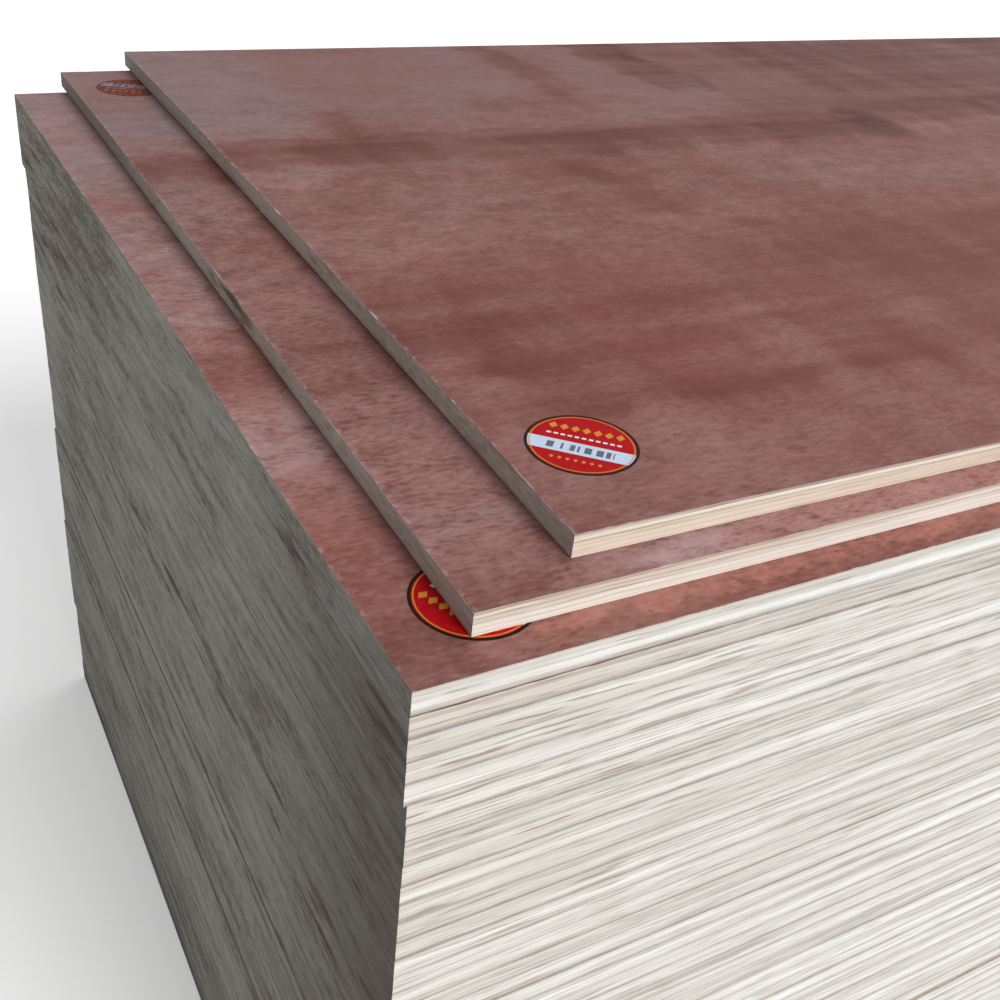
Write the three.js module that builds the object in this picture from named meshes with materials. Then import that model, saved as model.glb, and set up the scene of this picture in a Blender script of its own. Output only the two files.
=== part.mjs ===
// A pile of plywood sheets lying flat, with two loose sheets set back on top and three round paper labels.
// Millimetres, +Z up. +X runs along the sheets' length and +Y across them.
// The origin is the middle of the pile's underside, which lies on the floor.
import * as THREE from 'three';

// One sheet, in the common size of 8 by 4 feet.
const SHEET_LENGTH = 2440;
const SHEET_WIDTH = 1220;
const SHEET_THICKNESS = 18;

// One label: a round sticker that lies flat on a sheet's face.
const LABEL_DIAMETER = 82;
const LABEL_THICKNESS = 0.2;
const LABEL_CLEARANCE = 0.05;
const LABEL_SIDES = 64;

// The gap between one sheet and the next is just what a label needs.
const SHEET_GAP = LABEL_THICKNESS + 2 * LABEL_CLEARANCE;
const SHEET_PITCH = SHEET_THICKNESS + SHEET_GAP;

// The pile was built in lifts of several sheets. From the floor up: how many sheets each lift holds,
// and how far off true it was set down.
const LIFTS = [
  { sheets: 9, along: 1.6, across: 0.9 },
  { sheets: 9, along: -1.2, across: -1.4 },
  { sheets: 9, along: 0.7, across: 1.1 },
  { sheets: 9, along: 2.6, across: -0.6 },
  { sheets: 9, along: 2.1, across: -0.3 },
  { sheets: 4, along: 2.9, across: 0.2 },
  { sheets: 5, along: 0, across: 0 },
];
const PILE_SHEETS = LIFTS.reduce((total, lift) => total + lift.sheets, 0);

// Within a lift, each sheet lies a little off true.
const SHEET_RUNOUT = 0.25;
const SHEET_TURN = THREE.MathUtils.degToRad(0.006);
const SALT = { sheetAlong: 1181, sheetAcross: 1823, sheetTurn: 97 };

// The loose sheets: how far the near corner is set back from the pile's outline, and the turn about it.
const LOWER_SETBACK = { along: 52.7, across: 30.2 };
const LOWER_TURN = THREE.MathUtils.degToRad(-0.58);
const UPPER_SETBACK = { along: 135.4, across: 56.8 };
const UPPER_TURN = THREE.MathUtils.degToRad(-0.94);

// Each label's middle, from the near end of its sheet and from the long edge that it was stuck beside.
const PILE_LABEL = { fromEnd: 71, fromNearEdge: 64 };
const LOWER_LABEL = { fromEnd: 69, fromFarEdge: 89 };
const UPPER_LABEL = { fromEnd: 61, fromNearEdge: 95 };

const facePly = { color: 0x8a5b54, roughness: 0.6, metalness: 0 };
const sawnEdge = { color: 0xcfc4b2, roughness: 0.85, metalness: 0 };
const printedPaper = { color: 0xa81420, roughness: 0.35, metalness: 0 };

// A number from -1 to 1 that looks random but is always the same for the same index and salt.
function unevenness(index, salt) {
  const wave = Math.sin(index * 12.9898 + salt * 78.233) * 43758.5453;
  return 2 * (wave - Math.floor(wave)) - 1;
}

function makeSheet(name, finish) {
  const geometry = new THREE.BoxGeometry(SHEET_LENGTH, SHEET_WIDTH, SHEET_THICKNESS);
  const sheet = new THREE.Mesh(geometry, new THREE.MeshStandardMaterial(finish));
  sheet.name = name;
  return sheet;
}

function makeLabel(name) {
  const radius = LABEL_DIAMETER / 2;
  const geometry = new THREE.CylinderGeometry(radius, radius, LABEL_THICKNESS, LABEL_SIDES);
  geometry.rotateX(Math.PI / 2);
  const label = new THREE.Mesh(geometry, new THREE.MeshStandardMaterial(printedPaper));
  label.name = name;
  return label;
}

// Puts a label on the sheet's upper face. Places are measured from the sheet's middle.
function stickOn(sheet, label, { fromEnd, fromNearEdge, fromFarEdge }) {
  const nearEdge = -SHEET_WIDTH / 2;
  const across = fromFarEdge === undefined ? nearEdge + fromNearEdge : -nearEdge - fromFarEdge;
  const above = SHEET_THICKNESS / 2 + LABEL_CLEARANCE + LABEL_THICKNESS / 2;
  label.position.set(-SHEET_LENGTH / 2 + fromEnd, across, above);
  sheet.add(label);
}

// The height of the middle of a sheet with this many sheets below it.
function levelAbove(sheetsBelow) {
  return sheetsBelow * SHEET_PITCH + SHEET_THICKNESS / 2;
}

// Lays a sheet with its near corner set back from the pile's near corner, and turned about that corner.
function makeLooseSheet(name, sheetsBelow, setback, turn) {
  const sheet = makeSheet(name, facePly);
  sheet.position.set(SHEET_LENGTH / 2, SHEET_WIDTH / 2, 0);
  const nearCorner = new THREE.Group();
  nearCorner.position.x = -SHEET_LENGTH / 2 + setback.along;
  nearCorner.position.y = -SHEET_WIDTH / 2 + setback.across;
  nearCorner.position.z = levelAbove(sheetsBelow);
  nearCorner.rotation.z = turn;
  nearCorner.add(sheet);
  return { nearCorner, sheet };
}

const stack = new THREE.Group();

let below = 0;
for (const lift of LIFTS) {
  for (let count = 0; count < lift.sheets; count += 1) {
    const number = below + 1;
    const isTop = number === PILE_SHEETS;
    const sheet = makeSheet(`pile_sheet_${String(number).padStart(2, '0')}`, isTop ? facePly : sawnEdge);
    sheet.position.x = lift.along + SHEET_RUNOUT * unevenness(number, SALT.sheetAlong);
    sheet.position.y = lift.across + SHEET_RUNOUT * unevenness(number, SALT.sheetAcross);
    sheet.position.z = levelAbove(below);
    sheet.rotation.z = SHEET_TURN * unevenness(number, SALT.sheetTurn);
    if (isTop) stickOn(sheet, makeLabel('label_pile'), PILE_LABEL);
    stack.add(sheet);
    below = number;
  }
}

const lower = makeLooseSheet('loose_sheet_lower', PILE_SHEETS, LOWER_SETBACK, LOWER_TURN);
stickOn(lower.sheet, makeLabel('label_lower'), LOWER_LABEL);
stack.add(lower.nearCorner);

const upper = makeLooseSheet('loose_sheet_upper', PILE_SHEETS + 1, UPPER_SETBACK, UPPER_TURN);
stickOn(upper.sheet, makeLabel('label_upper'), UPPER_LABEL);
stack.add(upper.nearCorner);

export default stack;
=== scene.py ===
"""The looks of a pile of plywood sheets, with two loose sheets on it and three round labels.

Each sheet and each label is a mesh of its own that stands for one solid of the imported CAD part.
The wood, the print and the floor are procedural materials, made with the Field and Graph classes.
"""
import math

import bpy
import numpy as np
from mathutils import Matrix, Vector


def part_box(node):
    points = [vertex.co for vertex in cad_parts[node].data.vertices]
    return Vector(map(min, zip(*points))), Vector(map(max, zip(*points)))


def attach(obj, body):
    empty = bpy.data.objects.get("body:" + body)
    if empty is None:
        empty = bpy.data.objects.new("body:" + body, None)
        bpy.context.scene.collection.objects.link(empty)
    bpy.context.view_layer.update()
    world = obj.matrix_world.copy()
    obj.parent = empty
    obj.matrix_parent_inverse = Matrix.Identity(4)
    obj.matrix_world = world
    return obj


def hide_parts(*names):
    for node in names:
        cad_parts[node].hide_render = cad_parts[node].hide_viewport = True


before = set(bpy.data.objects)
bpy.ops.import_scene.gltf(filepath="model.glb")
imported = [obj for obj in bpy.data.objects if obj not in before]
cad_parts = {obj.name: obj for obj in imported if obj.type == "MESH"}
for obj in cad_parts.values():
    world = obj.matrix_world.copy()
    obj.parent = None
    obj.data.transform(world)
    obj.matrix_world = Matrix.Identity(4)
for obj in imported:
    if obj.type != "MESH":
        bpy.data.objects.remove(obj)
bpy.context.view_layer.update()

MM = 0.001

# ---------------------------------------------------------------- sizes and places, in metres

THICKNESS = 18.0 * MM
# from one sheet's underside to the next one's, and the air between two sheets, in the CAD part
SHEET_STEP = 18.3 * MM
CAD_GAP = 0.3 * MM
PILE_WIDTH = 1.22
PLIES = 5
PLY = THICKNESS / PLIES

PILE_SHEETS = sum(name.startswith("pile_sheet_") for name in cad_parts)
PILE_NAMES = [f"pile_sheet_{number:02d}" for number in range(1, PILE_SHEETS + 1)]
LOOSE_NAMES = ["loose_sheet_lower", "loose_sheet_upper"]
SHEET_NAMES = PILE_NAMES + LOOSE_NAMES
# for each label, the way that its print's top points, in degrees from +X, and how much painted shade darkens
# it, from 0 to 1
LABELS = {
    "label_pile": (206.0, 0.0),
    "label_lower": (245.0, 0.95),
    "label_upper": (48.0, 0.0),
}

# Sheets are a little thinner along their long edges, so the faces of a tall pile are crowned.
# This is how much lower the topmost sheet lies at its long edges than in the middle.
CROWN = 4.0 * MM

# the photograph's camera, solved from the sheets' corners and edges: its angles are in degrees,
# and its lens and sensor in millimetres
CAMERA_PLACE = (-1.4540, -1.0599, 1.4396)
CAMERA_HEADING = 58.36
CAMERA_DOWN = 32.54
CAMERA_ROLL = 6.45
CAMERA_LENS = 43.5
CAMERA_SENSOR = 36.0
CAMERA_NEAREST = 0.05


def srgb(red, green, blue):
    """A colour written as 0 to 255, as the linear RGBA that a shader takes."""
    def linear(value):
        value /= 255
        return value / 12.92 if value <= 0.04045 else ((value + 0.055) / 1.055) ** 2.4

    return (linear(red), linear(green), linear(blue), 1.0)


# ---------------------------------------------------------------- node graphs

# what Blender's noise stays within for the most part
NOISE_RANGE = (0.3, 0.7)


class Field:
    """A socket in a node graph that can be used in plain arithmetic."""

    def __init__(self, graph, socket):
        self.graph = graph
        self.socket = socket

    def __add__(self, other):
        return self.graph.math("ADD", self, other)

    def __radd__(self, other):
        return self.graph.math("ADD", other, self)

    def __sub__(self, other):
        return self.graph.math("SUBTRACT", self, other)

    def __rsub__(self, other):
        return self.graph.math("SUBTRACT", other, self)

    def __mul__(self, other):
        return self.graph.math("MULTIPLY", self, other)

    def __truediv__(self, other):
        return self.graph.math("DIVIDE", self, other)

    def __abs__(self):
        return self.graph.math("ABSOLUTE", self)

    def floor(self):
        return self.graph.math("FLOOR", self)

    def fraction(self):
        return self.graph.math("FRACT", self)

    def least(self, other):
        return self.graph.math("MINIMUM", self, other)

    def most(self, other):
        return self.graph.math("MAXIMUM", self, other)

    def above(self, low, high):
        """0 at low and under it, 1 at high and over it, and smooth between them. low may be the larger."""
        return self.graph.spread(self, low, high, smooth=True)

    def between(self, low, high, soft):
        """1 from low to high, falling to 0 over soft on either side."""
        return self.above(low - soft, low) * self.above(high + soft, high)


class Graph:
    """One material's node tree, with short calls for the nodes that wood, paper and the floor need."""

    def __init__(self, name):
        self.material = bpy.data.materials.new(name)
        self.material.use_nodes = True
        self.tree = self.material.node_tree
        self.tree.nodes.clear()
        self.output = self.node("ShaderNodeOutputMaterial")
        self.shader = self.node("ShaderNodeBsdfPrincipled")
        self.tree.links.new(self.shader.outputs[0], self.output.inputs["Surface"])

    def node(self, kind, **settings):
        made = self.tree.nodes.new(kind)
        for key, value in settings.items():
            setattr(made, key, value)
        return made

    def feed(self, socket, value):
        """Links a socket to a field, or sets it to a plain value."""
        if isinstance(value, Field):
            self.tree.links.new(value.socket, socket)
        else:
            socket.default_value = value

    def math(self, operation, *values):
        made = self.node("ShaderNodeMath", operation=operation)
        for socket, value in zip(made.inputs, values):
            self.feed(socket, value)
        return Field(self, made.outputs[0])

    def spread(self, value, low, high, smooth=False):
        """Maps low..high to 0..1 and clamps what lies outside."""
        made = self.node("ShaderNodeMapRange", interpolation_type="SMOOTHSTEP" if smooth else "LINEAR")
        for socket, number in zip(made.inputs, (value, low, high, 0.0, 1.0)):
            self.feed(socket, number)
        return Field(self, made.outputs[0])

    def attribute(self, name):
        """A vector attribute of the mesh, as three fields."""
        read = self.node("ShaderNodeAttribute", attribute_name=name)
        parts = self.node("ShaderNodeSeparateXYZ")
        self.tree.links.new(read.outputs["Vector"], parts.inputs[0])
        return [Field(self, socket) for socket in parts.outputs]

    def number(self, name):
        """A number attribute of the mesh, as a field."""
        read = self.node("ShaderNodeAttribute", attribute_name=name)
        return Field(self, read.outputs["Fac"])

    def point(self, x, y, z):
        made = self.node("ShaderNodeCombineXYZ")
        for socket, value in zip(made.inputs, (x, y, z)):
            self.feed(socket, value)
        return Field(self, made.outputs[0])

    def noise(self, x, y, z, detail=2.0, roughness=0.5):
        """Smooth noise at a point that is already scaled, spread so that it goes from 0 to 1."""
        made = self.node("ShaderNodeTexNoise")
        self.feed(made.inputs["Vector"], self.point(x, y, z))
        made.inputs["Scale"].default_value = 1.0
        made.inputs["Detail"].default_value = detail
        made.inputs["Roughness"].default_value = roughness
        return self.spread(Field(self, made.outputs[0]), *NOISE_RANGE)

    def chance(self, x, y):
        """An even random number from 0 to 1 for each point."""
        made = self.node("ShaderNodeTexWhiteNoise", noise_dimensions="3D")
        self.feed(made.inputs["Vector"], self.point(x, y, 0.0))
        return Field(self, made.outputs["Value"])

    def mix(self, factor, low, high, blend="MIX"):
        """Two colours mixed: low at factor 0 and high at 1."""
        made = self.node("ShaderNodeMix", data_type="RGBA", blend_type=blend)
        self.feed(made.inputs[0], factor)
        self.feed(made.inputs[6], low)
        self.feed(made.inputs[7], high)
        return Field(self, made.outputs[2])

    def ramp(self, factor, *stops):
        """A colour from a field through (position, colour) stops."""
        made = self.node("ShaderNodeValToRGB")
        points = made.color_ramp.elements
        while len(points) < len(stops):
            points.new(0.5)
        for element, (position, colour) in zip(points, stops):
            element.position = position
            element.color = colour
        self.feed(made.inputs[0], factor)
        return Field(self, made.outputs[0])

    def finish(self, colour, roughness, height, relief, gloss):
        """Connects the colour, roughness and bump, whose height field of 1 stands relief metres high."""
        self.feed(self.shader.inputs["Base Color"], colour)
        self.feed(self.shader.inputs["Roughness"], roughness)
        self.shader.inputs["Specular IOR Level"].default_value = gloss
        bump = self.node("ShaderNodeBump")
        bump.inputs["Strength"].default_value = 1.0
        bump.inputs["Distance"].default_value = relief
        self.feed(bump.inputs["Height"], height)
        self.tree.links.new(bump.outputs[0], self.shader.inputs["Normal"])
        return self.material


# ---------------------------------------------------------------- wood

# Noise is read at places in metres times cycles a metre. Its third number only sets one pattern apart from
# another. A sheet's place attribute gives how far along it, across it and up it a point is, and its sheet
# attribute gives its number, from 1 at the bottom of the pile.

# how far the plies sway up and down along an edge, in long waves and in short ones
PLY_SWAY = 2.6 * MM
PLY_RIPPLE = 0.8 * MM
# how uneven a seam's outline is
SEAM_ROUGHNESS = 1.0 * MM
# how deep the bump of each material is
FACE_RELIEF = 0.08 * MM
LEDGE_RELIEF = 0.1 * MM
LONG_EDGE_RELIEF = 0.13 * MM
SHORT_EDGE_RELIEF = 0.2 * MM

# bands of the pile's long sides that are paler or darker: from and to which height, and by how much
BAND_SOFTNESS = 8.0 * MM
SIDE_BANDS = [
    (0.862, 0.912, 0.14),
    (0.602, 0.636, 0.12),
    (0.545, 0.578, -0.13),
]

# the red-brown faces: five tones from dark to pale, then dashes, flecks and chips, and a warm light
FACE_UMBER = srgb(101, 58, 52)
FACE_RED = srgb(114, 68, 62)
FACE_BROWN = srgb(135, 90, 84)
FACE_ROSE = srgb(152, 111, 106)
FACE_BLOOM = srgb(155, 130, 130)
FACE_DEEP = srgb(96, 44, 34)
FACE_PALE = srgb(194, 149, 145)
FACE_DUST = srgb(196, 176, 164)
FACE_GLOW = (0.92, 0.88, 0.79, 1.0)
# the ledges inside the pile: dust and grime, made pale partly as painted light, for the ledges lie in shade
LEDGE_DUST_AND_LIGHT = srgb(196, 184, 170)
LEDGE_GRIME_AND_LIGHT = srgb(150, 136, 124)

# the edge along the grain
EDGE_GREIGE = srgb(187, 182, 174)
EDGE_CREAM = srgb(222, 219, 212)
EDGE_WHITE = srgb(247, 246, 242)
EDGE_BEIGE = srgb(213, 201, 189)
EDGE_WARM = srgb(228, 209, 187)
EDGE_LINE = srgb(128, 108, 96)
EDGE_RED = srgb(112, 48, 42)

# the edge across the grain, greyer and darker than the edge along it: partly its end grain, and partly
# painted shade
SHADE_PALE = srgb(212, 209, 201)
SHADE_GREY = srgb(189, 184, 175)
SHADE_DARK = srgb(140, 131, 121)
SHADE_BROWN = srgb(84, 68, 58)
SHADE_WOOD = srgb(238, 232, 222)


def tinted(colour, tint):
    """A colour with its red, green and blue scaled."""
    return tuple(value * scale for value, scale in zip(colour, tint)) + (1.0,)


def face_veneer(name, tint, contrast, marks, glow=0.0):
    """The red-brown face: stains wiped along and across the grain, blotches, short fibres and marks.

    contrast is how strongly the blotches and fibres show.
    marks lists (along from, to, across from, to, softness, how much redder, how much lighter), in metres.
    glow is how strongly the near strip is given painted light, the warm light that the edge above it throws
    on it.
    """
    g = Graph(name)
    along, across, _ = g.attribute("place")
    seed = g.number("sheet") * 7.31
    sway = g.noise(along * 2.2, across * 4.0, seed, detail=2) - 0.5
    grain = across + sway * 0.02
    # stains: soft clouds, strokes along the grain, and strokes across it that bend towards the far end
    cloud = g.noise(along * 4.0, grain * 6.0, seed + 7.0, detail=3, roughness=0.55) - 0.5
    pull = g.noise(along * 1.4, grain * 24.0, seed + 9.0, detail=3, roughness=0.6) - 0.5
    bend = sway * (0.5 + along.above(1.2, 1.9) * 2.5)
    drag = g.noise(along * 18.0 + bend, across * 1.7, seed + 15.0, detail=3, roughness=0.6) - 0.5
    # the fine texture: blotches of a few centimetres, and short fibres along the grain
    blotch = g.noise(along * 32.0, grain * 46.0, seed + 5.0, detail=3, roughness=0.66) - 0.5
    fibre = g.noise(along * 110.0, grain * 260.0, seed + 2.0, detail=2, roughness=0.6) - 0.5
    # redder and lighter towards the near edge; the greyer far part is partly painted sheen, where the face
    # is seen at a grazing angle
    redness = 0.46 + cloud * 0.26 + pull * 0.2 + drag * 0.2 - across.above(0.4, 1.1) * 0.12
    light = 1.0 - across.above(0.14, 0.3) * 0.12 - across.above(0.4, 0.75) * 0.12
    # the marks, with uneven outlines
    worn_along = along + pull * 0.05 + blotch * 0.016
    worn_across = across + drag * 0.03 + sway * 0.02 + blotch * 0.012
    patchy = 1.0 + (pull + drag + blotch) * 0.6
    for along_low, along_high, low, high, soft, redder, lighter in marks:
        inside = worn_along.between(along_low, along_high, soft) * worn_across.between(low, high, soft)
        mark = inside * patchy
        redness = redness + mark * redder
        light = light + mark * lighter
    colour = g.ramp(
        redness,
        (0.0, tinted(FACE_BLOOM, tint)),
        (0.3, tinted(FACE_ROSE, tint)),
        (0.55, tinted(FACE_BROWN, tint)),
        (0.8, tinted(FACE_RED, tint)),
        (1.0, tinted(FACE_UMBER, tint)),
    )
    light = light * (1.0 + (pull + drag) * 0.14)
    colour = g.mix(1.0, colour, light, blend="MULTIPLY")
    # the far half of a face is smoother
    clear = 1.0 - across.above(0.6, 1.1) * 0.5
    fleck = (blotch * 0.9 + fibre) * clear * contrast
    colour = g.mix(fleck * (0.44 - redness * 0.34), colour, tinted(FACE_PALE, tint))
    colour = g.mix(fleck * -0.62, colour, tinted(FACE_DEEP, tint))
    # short dark dashes in clusters, and pale chips along the rim of the short edge
    cluster = (cloud * 0.4 + blotch * 0.6).above(0.0, 0.3)
    dash = g.noise(along * 150.0, grain * 360.0, seed + 11.0, detail=2, roughness=0.6).above(0.5, 1.0)
    colour = g.mix(dash * (0.08 + cluster * 0.24) * contrast, colour, tinted(FACE_DEEP, tint))
    chips = g.noise(along * 130.0, across * 130.0, seed + 17.0, detail=2, roughness=0.6).above(0.5, 0.85)
    rim = along.above(4.5 * MM, 0.5 * MM) * chips * contrast
    colour = g.mix(rim * 0.24, colour, FACE_DUST)
    # the strip that the edge above it throws warm light on
    warm_strip = along.above(0.04, 0.11) * across.above(50.0 * MM, 28.0 * MM) * glow
    colour = g.mix(warm_strip, colour, FACE_GLOW, blend="MULTIPLY")
    relief = fibre * 0.7 * clear
    return g.finish(colour, 0.7 + fibre * 0.15, relief, FACE_RELIEF, gloss=0.11)


def ledge_face():
    """The faces inside the pile, of which only grimy ledges show, where one lift lies back from another.
    Their pale colour is partly painted light, for the ledges lie in shade.
    """
    g = Graph("ledge_face")
    along, across, _ = g.attribute("place")
    grime = g.noise(along * 30.0, across * 30.0, g.number("sheet"), detail=3)
    return g.finish(g.mix(grime, LEDGE_DUST_AND_LIGHT, LEDGE_GRIME_AND_LIGHT), 0.9, grime, LEDGE_RELIEF, gloss=0.1)


def is_from(sheet, number):
    """1 on the sheet of that number and on those above it, and 0 on those below it."""
    return sheet.above(number - 0.8, number - 0.2)


def is_sheet(sheet, number):
    """1 on the sheet of that number, and 0 on the others."""
    return sheet.between(number - 0.3, number + 0.3, 0.3)


def edge_fields(g, run_axis):
    """What both sawn edges share: the run along the edge, the height in the sheet, the sheet's number,
    a seed for its noise, and its level, which is the height swayed as the plies are."""
    place = g.attribute("place")
    run, side, height = place[run_axis], place[1 - run_axis], place[2]
    sheet = g.number("sheet")
    seed = sheet * 5.17 + side * 9.3
    sway = (g.noise(run * 5.5, height * 50.0, seed, detail=1) - 0.5) * PLY_SWAY
    ripple = (g.noise(run * 24.0, height * 160.0, seed + 3.0, detail=1) - 0.5) * PLY_RIPPLE
    return run, height, sheet, seed, height + sway + ripple


def seam_fields(g, run, height, sheet, pace):
    """How far off the nearest seam is, over or under the sheet, in metres, and how dark it is here."""
    # 1 in the upper half of the sheet, whose nearest seam is the one over it
    upper = (height / (THICKNESS / 2)).floor().least(1.0)
    strength = g.noise(run * pace, (sheet + upper) * 6.37, 71.0, detail=2)
    rough = g.noise(run * 60.0, height * 500.0, sheet * 3.3, detail=1) * SEAM_ROUGHNESS
    near = height.least(THICKNESS - height) + rough
    return near, strength


def long_edge():
    """The edge along the grain: white and cream plies, broken brown lines between them, and darker seams."""
    g = Graph("long_edge")
    run, height, sheet, seed, level = edge_fields(g, 0)
    loose = is_from(sheet, PILE_SHEETS + 1)
    upper = is_from(sheet, PILE_SHEETS + 2)
    low_half = height.above(THICKNESS * 0.6, THICKNESS * 0.4) * loose
    layer = level / PLY
    off_line = abs(layer.fraction() - 0.5)
    key = layer.floor() * 3.7 + seed
    # tones: soft wide bands, broad streaks, fine fibres, and one for each sheet as a whole
    wide = g.noise(run * 1.6, level * 56.0, seed + 3.0, detail=0)
    broad = g.noise(run * 3.0, level * 120.0, seed + 5.0, detail=2)
    fine = g.noise(run * 18.0, level * 300.0, seed + 7.0, detail=2, roughness=0.6)
    break_up = g.noise(run * 40.0, level * 120.0, seed + 9.0, detail=2, roughness=0.6)
    whole = g.noise(run * 0.9, sheet * 0.43, 13.0, detail=1)
    # the sheets of the last lifts are browner, and so is every sheet towards its near end
    brown = sheet.above(34.0, 47.0) * 0.4 + run.above(0.4, 0.05) * 0.42 + 0.2
    # the sheet under the topmost one of the pile
    second = is_sheet(sheet, PILE_SHEETS - 1)
    tone = 0.51 + (wide - 0.5) * 0.25 + (broad - 0.5) * 0.48 + (fine - 0.5) * 0.37 + (whole - 0.5) * 0.18
    tone = tone - second * 0.12 - upper * 0.2
    # how high up the pile, for its paler and darker bands
    rise = (sheet - 1.0) * SHEET_STEP + height
    for band_low, band_high, lighter in SIDE_BANDS:
        tone = tone + rise.between(band_low, band_high, BAND_SOFTNESS) * lighter
    colour = g.ramp(tone, (0.1, EDGE_GREIGE), (0.45, EDGE_CREAM), (0.85, EDGE_WHITE))
    warm = g.noise(run * 5.0, level * 150.0, seed + 21.0, detail=1).above(0.5, 0.95)
    colour = g.mix((0.27 + warm * 0.42 + second * 0.3) * brown * brown, colour, EDGE_BEIGE)
    colour = g.mix(loose * 0.45 + upper * 0.2, colour, EDGE_WARM)
    colour = g.mix(low_half * (0.44 - upper * 0.44), colour, EDGE_WHITE)
    # glue lines, and short brown stains in the cross plies
    shown = g.noise(run * 4.5, key, 23.0, detail=2).above(0.3, 0.85).most(loose * 0.7)
    line = off_line.above(0.24, 0.02) * shown * (1.0 - low_half * 0.6)
    stain = g.noise(run * 15.0, level * 330.0, seed + 31.0, detail=2).above(0.66, 0.98)
    stain = stain * (1.0 - loose * 0.6)
    dark = (line * (0.3 + break_up * (1.0 - loose * 0.5) + loose * 0.5)).most(stain)
    colour = g.mix(dark * (0.26 + brown * 0.4), colour, EDGE_LINE)
    # the seams of the pile, darker partly from glue and veneer and partly as painted shade of the gap
    # between sheets, and the arris of a loose sheet
    near, strength = seam_fields(g, run, height, sheet, 3.2)
    shade = near.above(6.5 * MM, 1.0 * MM) * (1.0 - loose)
    colour = g.mix(shade * (0.25 + strength * 0.5), colour, EDGE_GREIGE)
    seam_line = near.above(3.0 * MM, 0.8 * MM) * (1.0 - loose)
    darkness = (0.15 + strength * 0.85) * (0.15 + break_up * 0.5 + brown * 0.3)
    colour = g.mix(seam_line * darkness, colour, EDGE_LINE)
    depth = THICKNESS - height
    # a painted highlight along the upper corner of each sheet of the pile, just under its seam
    painted_highlight = depth.between(1.0 * MM, 2.2 * MM, 0.8 * MM)
    colour = g.mix(painted_highlight * (0.3 - loose * 0.3), colour, EDGE_WHITE)
    arris = depth.above(2.2 * MM, 0.8 * MM) * loose
    colour = g.mix(arris * (0.36 + fine * 0.3 + upper * 0.08), colour, EDGE_LINE)
    # the plies of the sheets on top that are paler or darker than the rest
    topmost = is_sheet(sheet, PILE_SHEETS)
    pale_ply = upper * depth.between(2.8 * MM, 4.4 * MM, 0.8 * MM) * 0.36
    pale_ply = pale_ply + topmost * height.between(4.8 * MM, 8.8 * MM, 1.2 * MM) * 0.6
    colour = g.mix(pale_ply, colour, EDGE_WHITE)
    dark_ply = loose * depth.between(5.8 * MM, 7.0 * MM, 1.2 * MM) * 0.13
    dark_ply = dark_ply + second * depth.between(2.6 * MM, 5.0 * MM, 1.0 * MM) * 0.25
    colour = g.mix(dark_ply, colour, EDGE_LINE)
    # the red face veneer of a sheet shows at its seam, most of all under the topmost sheet near its corner
    bared = second * run.above(0.34, 0.1) * 0.85
    veneer = g.noise(run * 4.0, sheet * 7.7, 47.0, detail=2).above(0.72, 0.95) * 0.45
    face_line = near.above(2.2 * MM, 1.0 * MM) * height.above(THICKNESS * 0.4, THICKNESS * 0.6)
    colour = g.mix(face_line * bared.most(veneer), colour, EDGE_RED)
    relief = fine * 0.6
    return g.finish(colour, 0.8 + fine * 0.12, relief, LONG_EDGE_RELIEF, gloss=0.2)


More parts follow.
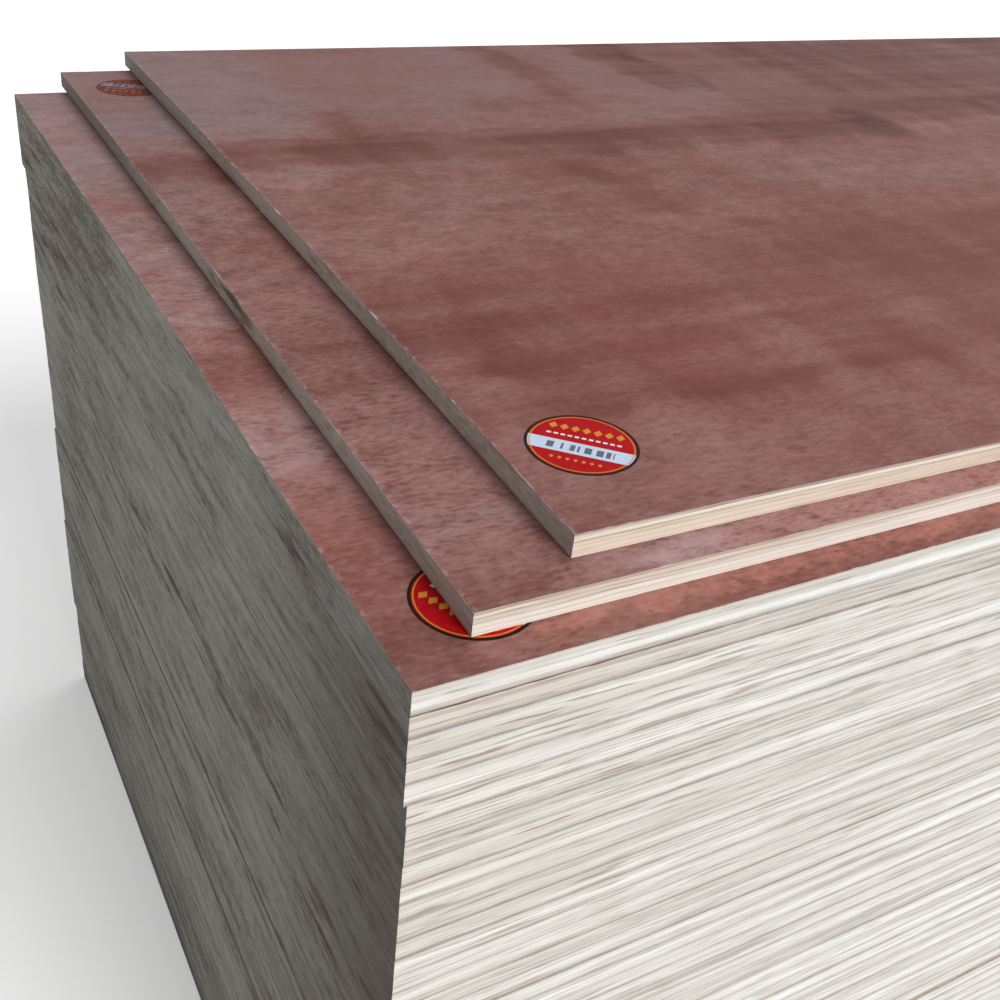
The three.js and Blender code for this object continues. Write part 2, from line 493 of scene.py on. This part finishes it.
def short_edge():
    """The edge across the grain: grey and brushed, with dark streaks in clusters, and a browner near end."""
    g = Graph("short_edge")
    run, height, sheet, seed, level = edge_fields(g, 1)
    loose = is_from(sheet, PILE_SHEETS + 1)
    upper = is_from(sheet, PILE_SHEETS + 2)
    along = g.attribute("place")[0]
    far_end = along.above(1.0, 2.0)
    side = along * 3.0
    # streaks run on from sheet to sheet, so they are read at the height in the pile
    rise = sheet * SHEET_STEP + level
    rise = rise + (g.noise(run * 3.5, rise * 9.0, side + 1.0, detail=1) - 0.5) * (9.0 * MM)
    layer = level / PLY
    off_line = abs(layer.fraction() - 0.5)
    key = layer.floor() * 3.7 + seed
    # tones: soft clouds, brushed streaks and fine fibres
    cloud = g.noise(run * 2.6, rise * 9.0, side + 3.0, detail=3)
    brush = g.noise(run * 9.0, rise * 62.0, side + 5.0, detail=3)
    fine = g.noise(run * 70.0, rise * 260.0, side + 7.0, detail=2, roughness=0.6)
    tone = 0.5 + (cloud - 0.5) * 0.55 + (brush - 0.5) * 0.7
    tone = tone + (fine - 0.5) * (0.62 + loose * 0.7) + loose * 0.2
    tone = tone - rise.above(0.8, 0.92) * run.above(0.5, 0.8) * (1.0 - loose) * 0.2
    colour = g.ramp(tone, (0.0, SHADE_DARK), (0.45, SHADE_GREY), (0.95, SHADE_PALE))
    colour = g.mix(loose * 0.5, colour, SHADE_WOOD)
    # dark streaks in clusters
    cluster = g.noise(run * 2.4, rise * 11.0, side + 11.0, detail=2).above(0.4, 0.85)
    streak = g.noise(run * 12.0, rise * 80.0, side + 13.0, detail=3).above(0.5, 1.0)
    streakiness = (0.12 + cluster * 0.68) * (1.0 + loose * 0.2 - far_end * 0.55)
    colour = g.mix(streak * streakiness, colour, SHADE_BROWN)
    # the near end is browner; a loose sheet's edge has painted shade towards its far end, and is a little
    # browner at its near end
    on_top = is_from(sheet, PILE_SHEETS - 1)
    corner = run.above(0.34, 0.0) * (1.0 - on_top * 0.4 - loose * 0.35)
    loose_end_shade = loose * (run.above(0.62, 1.0) * (0.42 - upper * 0.24) + run.above(0.12, 0.0) * 0.14)
    # glue lines and seams, which are plainer at the far end of the pile; the seams' darkness is partly
    # painted shade in their grooves
    shown = g.noise(run * 6.0, key, 17.0, detail=2).above(0.4, 0.85).most(far_end * 0.3)
    line = off_line.above(0.24, 0.02) * shown
    near, strength = seam_fields(g, run, height, sheet, 2.5)
    seam = near.above(2.2 * MM, 0.6 * MM) * (strength * 0.6).most(far_end * 0.9)
    dark = line.most(seam)
    colour = g.mix(dark * (0.1 + corner * 0.35 + loose * 0.15 + far_end * 0.4), colour, SHADE_BROWN)
    colour = g.mix(corner * (0.27 + corner * 0.25 + (cloud - 0.5) * 0.5), colour, SHADE_BROWN)
    # painted shade towards the far end of a loose sheet's edge
    colour = g.mix(loose_end_shade, colour, SHADE_BROWN)
    # the lowest sheets are darker: partly dirt, and partly painted shade where the pile meets the floor
    foot = rise.above(60.0 * MM, 18.0 * MM)
    colour = g.mix(foot * 0.5, colour, SHADE_BROWN)
    relief = fine * 0.6
    return g.finish(colour, 0.85 + fine * 0.1, relief, SHORT_EDGE_RELIEF, gloss=0.15)


# ---------------------------------------------------------------- sheets


def sheet_place(node):
    """Where a CAD sheet lies: its near corner, its two level directions, its length and width, and its
    bottom and top."""
    points = np.array([vertex.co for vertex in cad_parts[node].data.vertices])
    level = points[:, :2]
    near = level[np.argmin(level[:, 0] + level[:, 1])]
    far_along = level[np.argmax(level[:, 0] - level[:, 1])]
    far_across = level[np.argmin(level[:, 0] - level[:, 1])]
    length = np.linalg.norm(far_along - near)
    width = np.linalg.norm(far_across - near)
    return {
        "near": near,
        "along": (far_along - near) / length,
        "across": (far_across - near) / width,
        "length": length,
        "width": width,
        "bottom": points[:, 2].min(),
        "top": points[:, 2].max(),
    }


# the waves that make up an uneven line: cycles a metre, and size
WAVES = [(0.6, 0.5), (1.7, 0.3), (4.1, 0.2)]


def wave(seed, distance):
    """A smooth uneven line from about -1 to 1 along a distance in metres, the same each run."""
    random = np.random.default_rng(seed)
    total = np.zeros_like(distance)
    for cycles, size in WAVES:
        turns = cycles * distance * random.uniform(0.8, 1.25) + random.uniform()
        total += size * np.sin(2 * math.pi * turns)
    return total


# the seams: how far they wander up and down, and the air in them, which changes along them
SEAM_WANDER = 0.22 * MM
SEAM_GAP = 0.12 * MM
SEAM_GAP_CHANGE = 0.1 * MM


def seam(number, level):
    """How far the surfaces at the seam over sheet number lie from the CAD's: (sheet below, sheet above)."""
    x, y = level[:, 0], level[:, 1]
    if number == 0 or number >= PILE_SHEETS:
        return np.zeros_like(x), np.zeros_like(x)
    wander = SEAM_WANDER * (wave(number * 10 + 1, x) + wave(number * 10 + 2, y)) / 2
    gap = SEAM_GAP + SEAM_GAP_CHANGE * (wave(number * 10 + 3, x) + wave(number * 10 + 4, y)) / 2
    extra = (gap - CAD_GAP) / 2
    return wander - extra, wander + extra


def crown_drop(number, level):
    """How much lower the seam over sheet number lies towards the pile's long edges."""
    share = min(number / PILE_SHEETS, 1.0)
    return CROWN * share * (level[:, 1] / (PILE_WIDTH / 2)) ** 2


class SheetMesh:
    """Gathers one sheet's points, its faces, and which of its three materials each face has."""

    def __init__(self):
        self.points = []
        self.faces = []
        self.kinds = []

    def add(self, along, across, height):
        """Adds points given in the sheet's own measures, in metres, and returns their numbers."""
        first = len(self.points)
        along, across, height = np.broadcast_arrays(along, across, height)
        self.points.extend(zip(along.tolist(), across.tolist(), height.tolist()))
        return list(range(first, len(self.points)))

    def face(self, corners, kind):
        self.faces.append(corners)
        self.kinds.append(kind)


# A sheet's face is a coarse grid that ends a margin inside the edge. The edge is cut finer.
CELLS_ALONG = 40
CELLS_ACROSS = 20
FACE_MARGIN = 8 * MM
FACE, LONG_EDGE, SHORT_EDGE = 0, 1, 2


def perimeter(length, width, steps):
    """Points round a rectangle, anticlockwise from the near corner, with the inward direction and the
    kind of edge at each. Each coarse cell is cut in steps. Corners point inward diagonally."""
    along = np.linspace(0, length, CELLS_ALONG * steps + 1)
    across = np.linspace(0, width, CELLS_ACROSS * steps + 1)
    sides = [
        (along[:-1], np.zeros(len(along) - 1), (0, 1), LONG_EDGE),
        (np.full(len(across) - 1, length), across[:-1], (-1, 0), SHORT_EDGE),
        (along[:0:-1], np.full(len(along) - 1, width), (0, -1), LONG_EDGE),
        (np.zeros(len(across) - 1), across[:0:-1], (1, 0), SHORT_EDGE),
    ]
    u = np.concatenate([side[0] for side in sides])
    v = np.concatenate([side[1] for side in sides])
    inward = np.concatenate([np.tile(side[2], (len(side[0]), 1)) for side in sides]).astype(float)
    kind = np.concatenate([np.full(len(side[0]), side[3]) for side in sides])
    first = 0
    for side in sides:
        inward[first] += inward[first - 1]
        first += len(side[0])
    return u, v, inward, kind


# a splinter's reach to either side, and how far it goes inward and downward, in millimetres
CHIP_REACH = (1, 12)
CHIP_DEPTH = (0.2, 0.9)
CHIP_DROP = (0.2, 0.7)


def chip_shapes(count, random, spacing, how_many):
    """Small splinters broken off the upper corner: (inward, downward) depths in metres at each column."""
    inward = np.zeros(count)
    downward = np.zeros(count)
    for _ in range(how_many):
        middle = random.integers(count)
        reach = int(random.uniform(*CHIP_REACH) * MM / spacing)
        deep = random.uniform(*CHIP_DEPTH) * MM
        low = random.uniform(*CHIP_DROP) * MM
        for step in range(-reach, reach + 1):
            column = (middle + step) % count
            fade = 1 - (abs(step) / (reach + 1)) ** 2
            inward[column] = max(inward[column], deep * fade)
            downward[column] = max(downward[column], low * fade)
    return inward, downward


# the edge's rows between its two corners, as shares of the thickness
MIDDLE_ROWS = np.linspace(0.16, 0.84, 4)
# how far the corners of the edge are taken off, and how rough the saw left it
ARRIS = 0.15 * MM
ROUGHNESS = 0.12 * MM
FIRST_SHEET_SEED = 1000


def build_sheet(number, place, steps, chips):
    """The mesh of one sheet in its own measures. Each coarse cell's edge is cut in steps."""
    mesh = SheetMesh()
    length, width = place["length"], place["width"]
    thick = place["top"] - place["bottom"]
    u, v, inward, kind = perimeter(length, width, steps)
    count = len(u)
    random = np.random.default_rng(FIRST_SHEET_SEED + number)
    spacing = length / (CELLS_ALONG * steps)
    chip_in, chip_down = chip_shapes(count, random, spacing, chips)
    # each row: its heights, and how far it lies inward
    rows = [(np.zeros(count), ARRIS + ROUGHNESS * random.random(count))]
    rows.append((np.full(count, ARRIS), ROUGHNESS * random.random(count)))
    for share in MIDDLE_ROWS:
        rows.append((np.full(count, share * thick), ROUGHNESS * random.random(count)))
    rows.append((thick - ARRIS - chip_down, ROUGHNESS * random.random(count)))
    rows.append((np.full(count, thick), ARRIS + chip_in + ROUGHNESS * random.random(count)))
    rings = []
    for height, inset in rows:
        rings.append(mesh.add(u + inward[:, 0] * inset, v + inward[:, 1] * inset, height))
    for below, above in zip(rings, rings[1:]):
        for column in range(count):
            after = (column + 1) % count
            mesh.face([below[column], below[after], above[after], above[column]], int(kind[column]))
    for ring, height, upward in ((rings[-1], thick, True), (rings[0], 0.0, False)):
        add_face_grid(mesh, length, width, ring, height, upward, steps)
    return mesh


def add_face_grid(mesh, length, width, ring, height, upward, steps):
    """One face of a sheet: a coarse grid, joined to the fine ring by faces with many corners."""
    along = np.linspace(0, length, CELLS_ALONG + 1)
    across = np.linspace(0, width, CELLS_ACROSS + 1)
    along[0], along[-1] = FACE_MARGIN, length - FACE_MARGIN
    across[0], across[-1] = FACE_MARGIN, width - FACE_MARGIN
    grid = [mesh.add(along, row, height) for row in across]
    turn = 1 if upward else -1
    for row in range(CELLS_ACROSS):
        for column in range(CELLS_ALONG):
            corners = [grid[row][column], grid[row][column + 1]]
            corners += [grid[row + 1][column + 1], grid[row + 1][column]]
            mesh.face(corners[::turn], FACE)
    border = [grid[0][column] for column in range(CELLS_ALONG)]
    border += [grid[row][CELLS_ALONG] for row in range(CELLS_ACROSS)]
    border += [grid[CELLS_ACROSS][column] for column in range(CELLS_ALONG, 0, -1)]
    border += [grid[row][0] for row in range(CELLS_ACROSS, 0, -1)]
    for cell, here in enumerate(border):
        after = border[(cell + 1) % len(border)]
        outer = [ring[(cell * steps + step) % len(ring)] for step in range(steps + 1)]
        mesh.face((outer + [after, here])[::turn], FACE)


def make_sheet(number, node, materials, steps, chips):
    """Makes the sheet that stands for its CAD node, with its seams uneven and its faces crowned."""
    place = sheet_place(node)
    mesh = build_sheet(number, place, steps, chips)
    local = np.array(mesh.points)
    level = place["near"] + local[:, :1] * place["along"] + local[:, 1:2] * place["across"]
    thick = place["top"] - place["bottom"]
    share = local[:, 2] / thick
    under = place["bottom"] + seam(number - 1, level)[1] - crown_drop(number - 1, level)
    over = place["top"] + seam(number, level)[0] - crown_drop(number, level)
    height = under + (over - under) * share
    data = bpy.data.meshes.new(node + "_looks")
    data.from_pydata(np.column_stack([level, height]).tolist(), [], mesh.faces)
    data.polygons.foreach_set("material_index", mesh.kinds)
    data.attributes.new("place", "FLOAT_VECTOR", "POINT").data.foreach_set("vector", local.ravel())
    numbers = np.full(len(local), float(number))
    data.attributes.new("sheet", "FLOAT", "POINT").data.foreach_set("value", numbers)
    for material in materials:
        data.materials.append(material)
    data.validate()
    piece = bpy.data.objects.new(node + "_looks", data)
    bpy.context.scene.collection.objects.link(piece)
    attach(piece, "root")
    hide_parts(node)


# The marks on the three faces that show, as face_veneer takes them, in metres from the near corner.
# They were placed after the photograph.
UPPER_MARKS = [
    # a dark band along the sheet, which is darker in blocks
    (-0.1, 0.69, 0.705, 0.79, 0.020, 0.18, 0.0),
    (0.10, 0.24, 0.72, 0.78, 0.035, 0.14, -0.02),
    (0.36, 0.50, 0.70, 0.76, 0.035, 0.18, -0.02),
    (0.52, 0.70, 0.70, 0.76, 0.030, 0.17, -0.03),
    (0.74, 0.92, 0.705, 0.775, 0.045, 0.38, -0.08),
    (0.66, 0.84, 0.78, 0.82, 0.030, 0.13, -0.05),
    (0.90, 2.44, 0.745, 0.82, 0.030, 0.28, -0.10),
    # strokes across it
    (0.52, 0.55, 0.95, 1.3, 0.030, 0.20, -0.02),
    (0.70, 0.77, 0.96, 1.3, 0.035, 0.32, -0.08),
    (0.17, 0.19, 0.80, 0.90, 0.030, 0.18, 0.0),
    (0.39, 0.41, 0.50, 0.66, 0.030, 0.18, 0.0),
    (0.47, 0.50, 0.34, 0.44, 0.030, 0.18, 0.0),
    (0.38, 0.60, 0.895, 0.915, 0.025, 0.18, 0.0),
    # the redder part towards the near edge, and its dark bands
    (-0.1, 2.44, 0.14, 0.40, 0.060, 0.19, 0.06),
    (-0.1, 0.14, 0.27, 0.30, 0.030, 0.08, 0.0),
    (0.05, 2.44, 0.14, 0.23, 0.024, 0.11, 0.0),
    (-0.1, 0.32, 0.42, 0.68, 0.050, -0.05, 0.0),
    (-0.1, 0.09, 0.64, 0.70, 0.030, -0.12, 0.05),
    (0.19, 0.32, 0.18, 0.38, 0.040, -0.04, 0.11),
    (0.14, 0.24, 0.15, 0.17, 0.030, 0.06, 0.0),
    # the pale near strip, a pale spot, and a greyer patch at the far left that is partly dust and partly
    # painted sheen
    (-0.1, 2.44, -0.1, 0.115, 0.016, -0.01, -0.02),
    (0.01, 0.04, 0.19, 0.24, 0.025, -0.22, 0.0),
    (-0.1, 0.10, 0.88, 1.3, 0.120, -0.26, 0.0),
    # the far part, which is duller
    (-0.1, 0.75, 0.88, 1.3, 0.100, -0.10, -0.08),
    (0.80, 2.44, 0.84, 1.3, 0.080, 0.12, -0.12),
    (1.0, 2.44, 0.92, 1.3, 0.050, 0.12, -0.09),
]
LOWER_MARKS = [
    # bands along the sheet
    (-0.1, 2.44, 0.66, 0.98, 0.050, -0.12, 0.0),
    (-0.1, 2.44, 0.77, 0.83, 0.030, 0.28, 0.0),
    (-0.1, 2.44, 0.29, 0.32, 0.030, 0.14, 0.0),
    (-0.1, 2.44, 0.40, 0.68, 0.050, -0.06, 0.05),
    (-0.1, 2.44, 0.08, 0.24, 0.040, -0.12, 0.02),
    # the near corner, and the far left part, greyer partly as painted sheen
    (-0.1, 0.06, -0.1, 0.03, 0.020, 0.15, 0.0),
    (0.03, 0.19, -0.1, 0.03, 0.030, -0.12, 0.0),
    (-0.1, 0.20, 0.94, 1.3, 0.050, -0.26, -0.05),
    # the strip that the sheet above lights up
    (0.16, 2.44, -0.1, 0.03, 0.040, -0.18, 0.24),
]
PILE_MARKS = [
    # bands along the sheet
    (-0.1, 2.44, 0.28, 1.3, 0.060, -0.14, 0.0),
    (-0.1, 2.44, 0.50, 1.3, 0.050, -0.18, 0.0),
    (-0.1, 2.44, 0.77, 0.81, 0.030, 0.15, 0.0),
    (-0.1, 2.44, 0.38, 0.42, 0.030, 0.12, 0.0),
    (-0.1, 2.44, 0.26, 0.32, 0.030, -0.12, 0.05),
    # the near corner, and the strip that the sheet above lights up
    (-0.1, 0.04, -0.1, 0.04, 0.030, 0.06, -0.18),
    (0.10, 2.44, 0.019, 0.03, 0.007, 0.0, 0.32),
]

# for a sheet whose face shows, and for one inside the pile: steps to a coarse cell, and splinters
SEEN_DETAIL = (12, 40)
HIDDEN_DETAIL = (2, 6)

edges = [long_edge(), short_edge()]
ledge = ledge_face()
seen_faces = {
    PILE_NAMES[-1]: face_veneer("pile_face", (1.08, 1.08, 1.08), 1.2, PILE_MARKS, glow=1.0),
    "loose_sheet_lower": face_veneer("lower_face", (0.93, 0.94, 0.95), 1.4, LOWER_MARKS),
    "loose_sheet_upper": face_veneer("upper_face", (0.95, 0.95, 0.95), 1.1, UPPER_MARKS),
}
for number, node in enumerate(SHEET_NAMES, start=1):
    face = seen_faces.get(node, ledge)
    steps, chips = SEEN_DETAIL if node in seen_faces else HIDDEN_DETAIL
    make_sheet(number, node, [face] + edges, steps, chips)


# ---------------------------------------------------------------- labels

LABEL_BLACK = srgb(22, 13, 8)
LABEL_GOLD = srgb(205, 140, 50)
LABEL_RED = srgb(172, 3, 14)
LABEL_PALE = srgb(196, 212, 232)
LABEL_WHITE = srgb(236, 222, 216)
LABEL_GREY = srgb(60, 62, 68)
# the brown of the painted shade on a label that lies in shade
LABEL_SHADE = srgb(58, 36, 26)
LABEL_RELIEF = 0.4 * MM


def row_of(x, pitch):
    """How far x lies from the middle of its place in a row, for a row with one place each pitch."""
    return abs((x / pitch + 0.5).fraction() - 0.5) * pitch


def label_print():
    """The sticker's print: a dark rim, a gold ring and a red field with, from the top, a row of gold
    diamonds, a row of white dashes, a pale band with grey ticks, and a row of gold dots. Then wear, and
    painted shade.
    Measures are shares of the radius.
    """
    g = Graph("label_print")
    x, y, label_shade = g.attribute("print")
    radius = g.math("SQRT", x * x + y * y)
    colour = g.mix(y.between(-0.38, 0.0, 0.008), LABEL_RED, LABEL_PALE)
    ticks = g.chance((x * 24.0).floor(), 2.0).above(0.42, 0.45) * x.between(-0.6, 0.6, 0.01)
    colour = g.mix(ticks * y.between(-0.29, -0.1, 0.01) * 0.85, colour, LABEL_GREY)
    diamonds = (row_of(x, 0.2) / 0.08 + abs(y - 0.47) / 0.11).above(1.05, 0.95)
    colour = g.mix(diamonds * x.between(-0.7, 0.7, 0.01), colour, LABEL_GOLD)
    dashes = row_of(x, 0.125).above(0.045, 0.035) * y.between(0.17, 0.22, 0.008)
    colour = g.mix(dashes * x.between(-0.69, 0.69, 0.01), colour, LABEL_WHITE)
    dots = (row_of(x, 0.14) / 0.04 + abs(y + 0.58) / 0.05).above(1.1, 0.9)
    colour = g.mix(dots * x.between(-0.49, 0.49, 0.01), colour, LABEL_GOLD)
    colour = g.mix(radius.between(0.905, 0.925, 0.006) * 0.8, colour, LABEL_GOLD)
    colour = g.mix(radius.above(0.94, 0.95), colour, LABEL_BLACK)
    # wear, and painted shade that the wear mottles
    wear = g.noise(x * 7.0, y * 7.0, 3.0, detail=3)
    crease = g.noise(x * 2.0, y * 2.0, 9.0, detail=2)
    colour = g.mix(wear * 0.04, colour, FACE_BLOOM)
    colour = g.mix(label_shade * (0.6 + wear * 0.4), colour, LABEL_SHADE)
    return g.finish(colour, 0.45 + wear * 0.15, crease, LABEL_RELIEF, gloss=0.04)


LABEL_RINGS = 12
LABEL_SPOKES = 96


def make_label(node, material):
    """A thin printed disc that follows the crown of the sheet that it is stuck on."""
    low, high = (np.array(corner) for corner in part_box(node))
    middle, radius = (low + high) / 2, (high[0] - low[0]) / 2
    heading, label_shade = LABELS[node]
    upward = math.radians(heading)
    points, prints, upper_faces, rim_faces = [], [], [], []

    def add_point(x, y, height):
        points.append((middle[0] + radius * x, middle[1] + radius * y, height))
        across = x * math.sin(upward) - y * math.cos(upward)
        prints.append((across, x * math.cos(upward) + y * math.sin(upward), label_shade))

    for height in (high[2], low[2]):
        add_point(0.0, 0.0, height)
        for ring in range(1, LABEL_RINGS + 1):
            out = ring / LABEL_RINGS
            for spoke in range(LABEL_SPOKES):
                turn = 2 * math.pi * spoke / LABEL_SPOKES
                add_point(out * math.cos(turn), out * math.sin(turn), height)
    per_side = 1 + LABEL_RINGS * LABEL_SPOKES
    for spoke in range(LABEL_SPOKES):
        here, after = 1 + spoke, 1 + (spoke + 1) % LABEL_SPOKES
        upper_faces.append([0, here, after])
        for _ in range(1, LABEL_RINGS):
            upper_faces.append([here, here + LABEL_SPOKES, after + LABEL_SPOKES, after])
            here, after = here + LABEL_SPOKES, after + LABEL_SPOKES
        rim_faces.append([here, here + per_side, after + per_side, after])
    lower_faces = [[index + per_side for index in face[::-1]] for face in upper_faces]
    level = np.array(points)
    level[:, 2] -= crown_drop(PILE_SHEETS, level)
    data = bpy.data.meshes.new(node + "_looks")
    data.from_pydata(level.tolist(), [], upper_faces + lower_faces + rim_faces)
    data.attributes.new("print", "FLOAT_VECTOR", "POINT").data.foreach_set("vector", np.ravel(prints))
    data.materials.append(material)
    data.validate()
    piece = bpy.data.objects.new(node + "_looks", data)
    bpy.context.scene.collection.objects.link(piece)
    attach(piece, "root")
    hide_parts(node)


paper = label_print()
for node in LABELS:
    make_label(node, paper)


# ---------------------------------------------------------------- floor, light and camera

FLOOR_HALF = 30.0
# the floor's colour and glow as the camera sees it, and its colour for the light that it throws back
FLOOR_SEEN = (0.8, 0.8, 0.8, 1.0)
FLOOR_GLOW = 0.35
FLOOR_UNSEEN = (0.38, 0.38, 0.38, 1.0)
WHITE = (1.0, 1.0, 1.0, 1.0)
# for each lamp, the direction that it stands in, its strength, and its width in degrees
LAMPS = {
    "key": ((0.20, -0.80, 0.58), 3.1, 30),
    "fill": ((0.78, 0.20, 0.59), 1.0, 60),
}
# the light that comes from all round
AMBIENT = 0.2


def pale_floor():
    """A floor that looks white, keeps the object's shadow, and throws little light back."""
    g = Graph("floor")
    path = g.node("ShaderNodeLightPath")
    seen = Field(g, path.outputs["Is Camera Ray"]).most(Field(g, path.outputs["Is Glossy Ray"]))
    seen = seen.most(Field(g, path.outputs["Is Transmission Ray"]))
    g.feed(g.shader.inputs["Base Color"], g.mix(seen, FLOOR_UNSEEN, FLOOR_SEEN))
    g.shader.inputs["Roughness"].default_value = 1.0
    g.shader.inputs["Specular IOR Level"].default_value = 0.0
    g.shader.inputs["Emission Color"].default_value = WHITE
    g.feed(g.shader.inputs["Emission Strength"], seen * FLOOR_GLOW)
    return g.material


def make_floor():
    """A level square far wider than the view, at the height that the pile stands on."""
    data = bpy.data.meshes.new("floor")
    corners = [(-1, -1), (1, -1), (1, 1), (-1, 1)]
    data.from_pydata([(x * FLOOR_HALF, y * FLOOR_HALF, 0) for x, y in corners], [], [[0, 1, 2, 3]])
    data.materials.append(pale_floor())
    floor = bpy.data.objects.new("floor", data)
    bpy.context.scene.collection.objects.link(floor)


def make_sun(name, towards, strength, angle):
    """A soft lamp far away. towards is the direction that it stands in, as seen from the object."""
    lamp = bpy.data.lights.new(name, "SUN")
    lamp.energy = strength
    lamp.angle = math.radians(angle)
    sun = bpy.data.objects.new(name, lamp)
    sun.rotation_mode = "QUATERNION"
    sun.rotation_quaternion = Vector(towards).to_track_quat("Z", "Y")
    bpy.context.scene.collection.objects.link(sun)


def make_world():
    """A world that the camera sees as plain white, and that gives a little light from all round."""
    world = bpy.data.worlds.new("studio")
    bpy.context.scene.world = world
    world.use_nodes = True
    tree = world.node_tree
    tree.nodes.clear()
    output = tree.nodes.new("ShaderNodeOutputWorld")
    background = tree.nodes.new("ShaderNodeBackground")
    background.inputs["Color"].default_value = WHITE
    path = tree.nodes.new("ShaderNodeLightPath")
    seen = path.outputs["Is Camera Ray"]
    for kind in ("Is Glossy Ray", "Is Transmission Ray"):
        either = tree.nodes.new("ShaderNodeMath")
        either.operation = "MAXIMUM"
        tree.links.new(seen, either.inputs[0])
        tree.links.new(path.outputs[kind], either.inputs[1])
        seen = either.outputs[0]
    strength = tree.nodes.new("ShaderNodeMapRange")
    strength.inputs["To Min"].default_value = AMBIENT
    strength.inputs["To Max"].default_value = 1.0
    tree.links.new(seen, strength.inputs["Value"])
    tree.links.new(strength.outputs[0], background.inputs["Strength"])
    tree.links.new(background.outputs[0], output.inputs["Surface"])


def make_camera():
    """The camera of the photograph, which looks down at the near corner and is rolled a little."""
    heading, down, roll = (math.radians(a) for a in (CAMERA_HEADING, CAMERA_DOWN, CAMERA_ROLL))
    level = math.cos(down)
    forward = Vector((math.cos(heading) * level, math.sin(heading) * level, -math.sin(down)))
    level_right = forward.cross(Vector((0, 0, 1))).normalized()
    level_up = level_right.cross(forward)
    right = level_right * math.cos(roll) + level_up * math.sin(roll)
    up = level_up * math.cos(roll) - level_right * math.sin(roll)
    lens = bpy.data.cameras.new("camera")
    lens.lens = CAMERA_LENS
    lens.sensor_width = CAMERA_SENSOR
    lens.clip_start = CAMERA_NEAREST
    camera = bpy.data.objects.new("camera", lens)
    axes = Matrix((right, up, -forward)).transposed().to_4x4()
    camera.matrix_world = Matrix.Translation(CAMERA_PLACE) @ axes
    bpy.context.scene.collection.objects.link(camera)
    bpy.context.scene.camera = camera


make_floor()
for name, (towards, strength, angle) in LAMPS.items():
    make_sun(name, towards, strength, angle)
make_world()
make_camera()
bpy.context.scene.view_settings.view_transform = "Standard"
